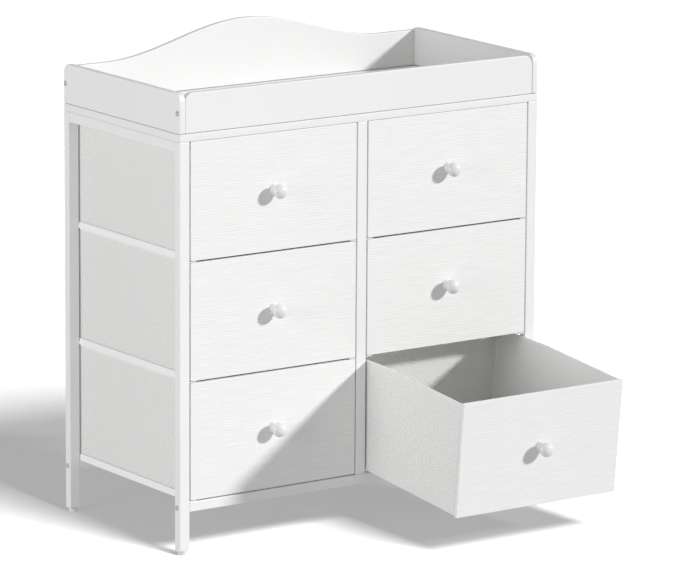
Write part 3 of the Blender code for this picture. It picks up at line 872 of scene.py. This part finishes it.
@dataclass
class Drawer:
    """One drawer: grained front, cloth box, base board and knob.

    Attributes:
        row: bottom, middle or top.
        column: left or right.
        low: the closed front's lowest corner.
        high: the closed front's highest corner.
        placement: where the drawer is stored.
        front_corner: rounding of the front's corners.
        front_edge: rounding of the front's edges.
        wall: thickness of the cloth wall.
        side_gap: how far the box stands in from each end of the front.
        box_front: the box's front wall, from the front's face.
        corner: radius of the box's upright edges.
        foot: rounding under the box's floor.
        lift: height of the box's floor above the front's lower edge.
        rim: height of the rim above the front's lower edge.
        taper_start: distance behind the front's face where the rim begins to fall.
        taper_drop: how far it has fallen at the back.
        rear: the box's back, from the front's face.
        slack: how far the cloth draws in at the middle of a wall.
        knob_height: height of the knob above the front's lower edge.
        foot_rim: chamfer of the knob's foot, from the first height to the second.
        flare_start: height at which the foot begins to narrow.
        foot_radius: radius of the knob's foot.
        neck_radius: radius of its neck.
        flare: length of the curve from foot to neck.
        head_radius: radius of its head.
        head_depth: half of the head's thickness.
        head_at: distance of the head's middle from the front.
    """

    row: str
    column: str
    low: np.ndarray
    high: np.ndarray
    placement: Placement
    front_corner: float = 0.0020
    front_edge: float = 0.0010
    wall: float = 0.0026
    side_gap: float = 0.0010
    box_front: float = 0.0063
    corner: float = 0.0050
    foot: float = 0.0020
    lift: float = 0.0024
    rim: float = 0.2328
    taper_start: float = 0.2500
    taper_drop: float = 0.0
    rear: float = 0.4145
    slack: float = 0.0011
    knob_height: float = 0.1200
    foot_rim: tuple[float, float] = (0.0003, 0.0006)
    flare_start: float = 0.0014
    foot_radius: float = 0.0122
    neck_radius: float = 0.0096
    flare: float = 0.0060
    head_radius: float = 0.0150
    head_depth: float = 0.0120
    head_at: float = 0.0205

    @property
    def name(self) -> str:
        """The drawer's body name."""
        return f"drawer_{self.row}_{self.column}"

    @property
    def order(self) -> int:
        """A number that tells the drawers apart."""
        return ROWS.index(self.row) * 2 + SIDES.index(self.column)

    def build(self) -> None:
        """Make the front, the box and the knob, and dress the base board."""
        self.front()
        self.box()
        self.knob()
        dress(f"{self.name}_base", BASE_BOARD)

    def front(self) -> None:
        """The front board, its grain shifted so that no two drawers match."""
        radius = self.front_corner
        outline = rounded_outline(self.low[[0, 2]], self.high[[0, 2]], radius, radius)
        piece = rounded_board(f"{self.name}_front_board", outline, Facing.Y, self.low[1],
                              self.high[1] - self.low[1], self.front_edge, FRONT_FOIL,
                              self.placement, (0.37 * self.order, 0.53 * self.order))
        place_piece(piece, self.name, "grained_front", f"{self.name}_front")

    def rim_height(self, y: np.ndarray) -> np.ndarray:
        """Rim height above the front's lower edge: level, then a straight fall."""
        fall = np.clip((y - self.taper_start) / (self.rear - self.taper_start), 0, 1)
        return self.rim - self.taper_drop * fall

    def plan(self) -> tuple[np.ndarray, np.ndarray]:
        """The box's outline from above, in even short steps.

        Returns:
            Points anticlockwise from the front left, and their distances along it.
        """
        half = (self.high[0] - self.low[0]) / 2 - self.side_gap
        low, high = np.array([-half, self.box_front]), np.array([half, self.rear])
        outline = rounded_outline(low, high, self.corner, self.corner)
        loop = np.concatenate([outline, outline[:1]])
        length = np.concatenate([[0], np.cumsum(np.linalg.norm(np.diff(loop, axis=0), axis=1))])
        extra = np.linspace(0, length[-1], 170, endpoint=False)
        at = np.unique(np.concatenate([length[:-1], extra]).round(5))
        points = np.stack([np.interp(at, length, loop[:, axis]) for axis in (0, 1)], -1)
        return points, np.append(at, length[-1])

    def profile(self) -> tuple[np.ndarray, np.ndarray]:
        """Section of the wall: inset from the outside, and share of the height.

        It runs round the foot, up the outside, over the rim in a half circle, and
        down the inside to the floor.

        Returns:
            Insets, and heights as 0 at the floor and 1 at the rim.
        """
        turn = np.linspace(0, math.pi / 2, 5)
        foot = self.foot * (1 - np.sin(turn)), self.foot * (1 - np.cos(turn)) / self.rim
        outside = np.zeros(26), np.linspace(0.012, 0.955, 26)
        over = np.linspace(0, math.pi, 9)
        half = self.wall / 2
        crest = half * (1 - np.cos(over)), 1 - (half - half * np.sin(over)) / self.rim
        inside = np.full(20, self.wall), np.linspace(0.955, 0.0180, 20)
        floor = self.wall + np.array([0.0008, 0.0016]), np.full(2, self.wall / self.rim)
        parts = (foot, outside, crest, inside, floor)
        insets, shares = zip(*parts)
        return np.concatenate(insets), np.concatenate(shares)

    def box(self) -> None:
        """The cloth box: its wall's section carried round its plan.

        The cloth draws in by the slack times the sine of pi times the height's share,
        times one half plus two sines of the distance along the wall, so that it never
        stands outside its place. Each point moves along the axis on which it is
        further from the middle.
        """
        plan, length = self.plan()
        insets, shares = self.profile()
        rings = np.stack([inset(plan, distance) for distance in insets])
        height = self.rim_height(plan[:, 1])
        level = self.lift + shares[:, None] * (height - self.lift)[None]
        middle = np.array([0.0, (self.box_front + self.rear) / 2])
        slow, quick = length[:-1] * 21 + self.order, length[:-1] * 47   # radians in a metre
        ripple = 0.5 + 0.3 * np.sin(slow) + 0.2 * np.sin(quick)
        pull = self.slack * np.sin(math.pi * np.clip(shares, 0, 1))[:, None] * ripple[None]
        inward = middle - plan
        inward /= np.abs(inward).max(1, keepdims=True)
        further = np.abs(inward) > 0.999
        rings = rings + (inward * further)[None] * pull[..., None]
        centre_x = (self.low[0] + self.high[0]) / 2
        points = np.stack([centre_x + rings[..., 0], self.low[1] + rings[..., 1],
                           self.low[2] + level], -1)
        down = height[None] + self.lift - level
        down = np.concatenate([down, down[:, :1]], 1)
        uv = np.stack([np.broadcast_to(length, down.shape), down], -1)
        clear_of_hem = np.array([0.0, 0.1])
        piece = closed_skin(f"{self.name}_cloth_box", self.placement.apply(points), uv,
                            rings[[0, -1]] + clear_of_hem, BOX_CLOTH)
        place_piece(piece, self.name, "woven_fabric", f"{self.name}_box")

    def knob(self) -> None:
        """A turned knob: a flared foot, a neck and a flattened ball.

        The foot narrows to the neck by the sine of a quarter turn. The head's radius
        is its full radius times the cosine of one angle, and its distance is half its
        thickness times the sine of the same angle, which runs in degrees from the neck
        nearly to the tip.
        """
        turn = np.linspace(0, math.pi / 2, 12)
        narrowing = (self.foot_radius - self.neck_radius) * np.sin(turn)
        flare = np.stack([self.foot_radius - narrowing,
                          self.flare_start + self.flare * (1 - np.cos(turn))], -1)
        angle = np.radians(np.linspace(-49, 86, 34))
        head = np.stack([self.head_radius * np.cos(angle),
                         self.head_at + self.head_depth * np.sin(angle)], -1)
        foot = [(self.foot_radius - 0.0004, self.foot_rim[0]),
                (self.foot_radius, self.foot_rim[1])]
        profile = np.concatenate([foot, flare, head])
        centre = np.array([(self.low[0] + self.high[0]) / 2, self.low[1],
                           self.low[2] + self.knob_height])
        piece = turned_piece(f"{self.name}_turned_knob", profile, centre, (0.0, -1.0, 0.0),
                             KNOB_GLOSS, placement=self.placement)
        place_piece(piece, self.name, "knob_paint", f"{self.name}_knob")


TIPPING_RIM = 0.2305            # height of the tipping drawer's rim
TIPPING_DROP = 0.0095           # how far that rim falls to the back


def make_drawers() -> list[Drawer]:
    """Place all six drawers from the left column's closed fronts and the tipping joint.

    The right column mirrors the left one, because one of its drawers is stored open.

    Returns:
        The drawers, not yet built.
    """
    joint = next(one for one in frame["joints"] if one["type"] == "hinge")
    pivot, tilt = np.array(joint["pos_m"]), math.radians(-joint["range_deg"][0])
    drawers = []
    for row in ROWS:
        low, high = corners(f"drawer_{row}_left_front")
        for column in SIDES:
            ends = (low[0], high[0]) if column == "left" else (-high[0], -low[0])
            drawer = Drawer(row, column, np.array([ends[0], *low[1:]]),
                            np.array([ends[1], *high[1:]]), STILL)
            if joint["child"] == drawer.name:
                drawer.placement = Placement(pivot, tilt)
                drawer.rim, drawer.taper_drop = TIPPING_RIM, TIPPING_DROP
            drawers.append(drawer)
    return drawers


# ---- studio
@dataclass
class Studio:
    """Floor, lights and camera.

    Attributes:
        eye: the camera's place.
        yaw: degrees from +Y towards +X that it looks.
        pitch: degrees above the horizon that it looks.
        roll: degrees that it leans.
        lens: focal length in millimetres on a 36 mm sensor.
        sky: brightness all round.
        key: strength of the light from the right front.
        key_way: the way that light travels.
        key_spread: its width in degrees.
        floor_key: strength of the front light that only reaches the floor.
        floor_key_way: the way that light travels.
        floor_key_spread: its width in degrees.
        softbox_power: watts of the softbox on the left.
        softbox_at: its middle.
        softbox_way: the way that it faces.
        softbox_size: its diameter.
        floor_half: half of the floor's width.
        floor_glow: brightness that the seen floor gives off by itself.
        floor_paint: share of the light on it that the seen floor gives back.
        floor_bounce: brightness with which the floor lights the table.
    """

    eye: Triple = (-5.641, -8.0655, 2.588)
    yaw: float = 34.84
    pitch: float = -12.12
    roll: float = 0.37
    lens: float = 271.05
    sky: float = 0.37
    key: float = 2.66
    key_way: Triple = (-20.1, 20.5, -12.3)
    key_spread: float = 5.0
    floor_key: float = 19.0
    floor_key_way: Triple = (-1.2, 7.2, -7.4)
    floor_key_spread: float = 20.0
    softbox_power: float = 74.0
    softbox_at: Triple = (-4.20, -0.50, 1.40)
    softbox_way: Triple = (3.77, 0.50, -0.90)
    softbox_size: float = 2.4
    floor_half: float = 60.0
    floor_glow: float = 0.33
    floor_paint: float = 0.18
    floor_bounce: float = 0.52

    def build(self) -> None:
        """Make the floor, the lights and the camera."""
        floor = self.floor()
        self.world()
        self.sun("key_light", self.key_way, self.key, self.key_spread)
        self.softbox()
        floor_light = self.sun("floor_key_light", self.floor_key_way, self.floor_key,
                               self.floor_key_spread)
        only_floor = bpy.data.collections.new("lit_by_floor_key")
        only_floor.objects.link(floor)
        floor_light.light_linking.receiver_collection = only_floor
        self.camera()

    def floor(self) -> bpy.types.Object:
        """A wide pale floor that lights the table less than it shows.

        Returns:
            The floor.
        """
        half = self.floor_half
        places = [(-half, -half, 0), (half, -half, 0), (half, half, 0), (-half, half, 0)]
        mesh = bpy.data.meshes.new("studio_floor")
        mesh.from_pydata(places, [], [(0, 1, 2, 3)])
        floor = new_object("studio_floor", mesh)
        mesh.materials.append(self.floor_finish())
        return floor

    def floor_finish(self) -> bpy.types.Material:
        """The floor's material: a glow and matt paint as seen, a plain glow as a light.

        Returns:
            The material.
        """
        material = bpy.data.materials.new("pale_floor")
        material.use_nodes = True
        material.node_tree.nodes.clear()
        kit = NodeKit(material.node_tree)
        glow, paint, bounce = (kit.add(kind, {"Color": (grey, grey, grey, 1.0)}).outputs[0]
                               for kind, grey in (("Emission", self.floor_glow),
                                                  ("BsdfDiffuse", self.floor_paint),
                                                  ("Emission", self.floor_bounce)))
        seen = kit.add("AddShader", {0: glow, 1: paint}).outputs[0]
        from_camera = kit.add("LightPath").outputs["Is Camera Ray"]
        mix = kit.add("MixShader", {0: from_camera, 1: bounce, 2: seen})
        kit.add("OutputMaterial", {"Surface": mix.outputs[0]})
        return material

    def world(self) -> None:
        """An even white surround."""
        world = bpy.data.worlds.new("studio")
        world.use_nodes = True
        background = world.node_tree.nodes["Background"]
        background.inputs["Color"].default_value = (1.0, 1.0, 1.0, 1.0)
        background.inputs["Strength"].default_value = self.sky
        bpy.context.scene.world = world
        bpy.context.scene.view_settings.view_transform = "Standard"

    def sun(self, name: str, way: Triple, strength: float, spread: float) -> bpy.types.Object:
        """A distant lamp.

        Args:
            name: its name.
            way: the way its light travels.
            strength: its strength.
            spread: its width in degrees, which softens shadows.

        Returns:
            The lamp.
        """
        lamp = bpy.data.lights.new(name, "SUN")
        lamp.energy = strength
        lamp.angle = math.radians(spread)
        return self.hang(lamp, way)

    def softbox(self) -> None:
        """A round softbox off the left side, so near that faces further right are dimmer."""
        lamp = bpy.data.lights.new("softbox", "AREA")
        lamp.shape = "DISK"
        lamp.size = self.softbox_size
        lamp.energy = self.softbox_power
        self.hang(lamp, self.softbox_way).location = self.softbox_at

    def hang(self, lamp: bpy.types.Light, way: Triple) -> bpy.types.Object:
        """Put a lamp in the scene, turned so that its light travels one way.

        Args:
            lamp: the lamp's data.
            way: the way its light travels.

        Returns:
            The lamp's object.
        """
        item = new_object(lamp.name, lamp)
        item.rotation_mode = "QUATERNION"
        item.rotation_quaternion = Vector(way).to_track_quat("-Z", "Y")
        return item

    def camera(self) -> None:
        """The camera: forward from yaw and pitch, then leaned by its roll."""
        yaw, pitch, roll = (math.radians(value) for value in (self.yaw, self.pitch, self.roll))
        forward = Vector((math.sin(yaw) * math.cos(pitch), math.cos(yaw) * math.cos(pitch),
                          math.sin(pitch)))
        right = Vector((math.cos(yaw), -math.sin(yaw), 0.0))
        up = right.cross(forward)
        leaned = math.cos(roll) * right + math.sin(roll) * up
        upright = -math.sin(roll) * right + math.cos(roll) * up
        data = bpy.data.cameras.new("camera")
        data.lens = self.lens
        data.sensor_width = 36.0
        data.clip_end = 200.0
        camera = new_object("camera", data)
        turn = Matrix((leaned, upright, -forward)).transposed()
        camera.matrix_world = Matrix.Translation(self.eye) @ turn.to_4x4()
        bpy.context.scene.camera = camera


def main() -> None:
    """Dress and build the table, then the studio around it."""
    logging.basicConfig(level=logging.INFO, format="%(name)s: %(message)s")
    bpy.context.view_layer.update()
    for build_effect in (grain_group, twill_group, coat_group):
        build_effect()
    SteelFrame().build()
    Tray().build()
    for drawer in make_drawers():
        drawer.build()
    Studio().build()


if __name__ == "__main__":
    main()
